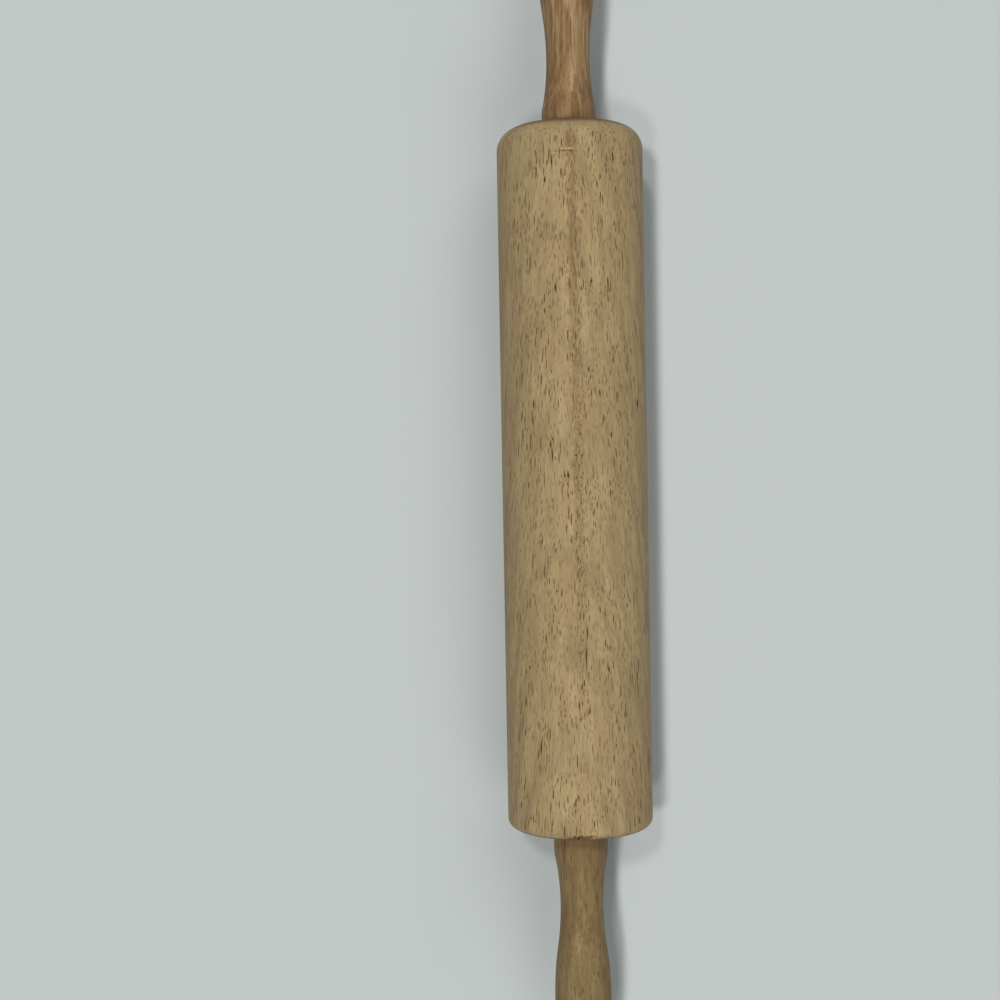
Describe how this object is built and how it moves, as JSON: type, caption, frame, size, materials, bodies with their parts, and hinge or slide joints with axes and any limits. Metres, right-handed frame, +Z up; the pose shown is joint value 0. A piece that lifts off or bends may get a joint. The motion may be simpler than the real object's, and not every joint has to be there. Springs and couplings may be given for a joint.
{
  "type": "rolling pin",
  "caption": "Handled wooden rolling pin: a straight turned roller that spins on a steel rod between two waisted wooden handles.",
  "frame": {"origin": "on the rod's axis, half-way between the roller's end faces, which is also the middle of the whole pin", "axes": "+Y along the rod towards the rear handle, +Z up from the table, +X to the right; the roller rests on the plane z = -26.5 mm"},
  "size_m": [0.053, 0.434, 0.053],
  "materials": {
    "roller_wood": "sanded, unvarnished",
    "handle_wood": "sanded, unvarnished",
    "rod_steel": "bright drawn",
    "washer_steel": "zinc plated",
    "bushing_nylon": "moulded, natural"
  },
  "bodies": {
    "grips": {"axle_rod": "rod_steel", "front_handle": "handle_wood", "rear_handle": "handle_wood"},
    "spinning_roller": {"roller": "roller_wood", "front_bushing": "bushing_nylon", "rear_bushing": "bushing_nylon"},
    "front_thrust_washer": {"front_washer": "washer_steel"},
    "rear_thrust_washer": {"rear_washer": "washer_steel"}
  },
  "joints": [
    {"name": "roller_spin", "type": "hinge", "parent": "grips", "child": "spinning_roller", "pos_m": [0, 0, 0], "axis": [0, 1, 0], "continuous": true},
    {"name": "front_washer_spin", "type": "hinge", "parent": "grips", "child": "front_thrust_washer", "pos_m": [0, -0.1282, 0], "axis": [0, 1, 0], "continuous": true},
    {"name": "rear_washer_spin", "type": "hinge", "parent": "grips", "child": "rear_thrust_washer", "pos_m": [0, 0.1282, 0], "axis": [0, 1, 0], "continuous": true}
  ]
}
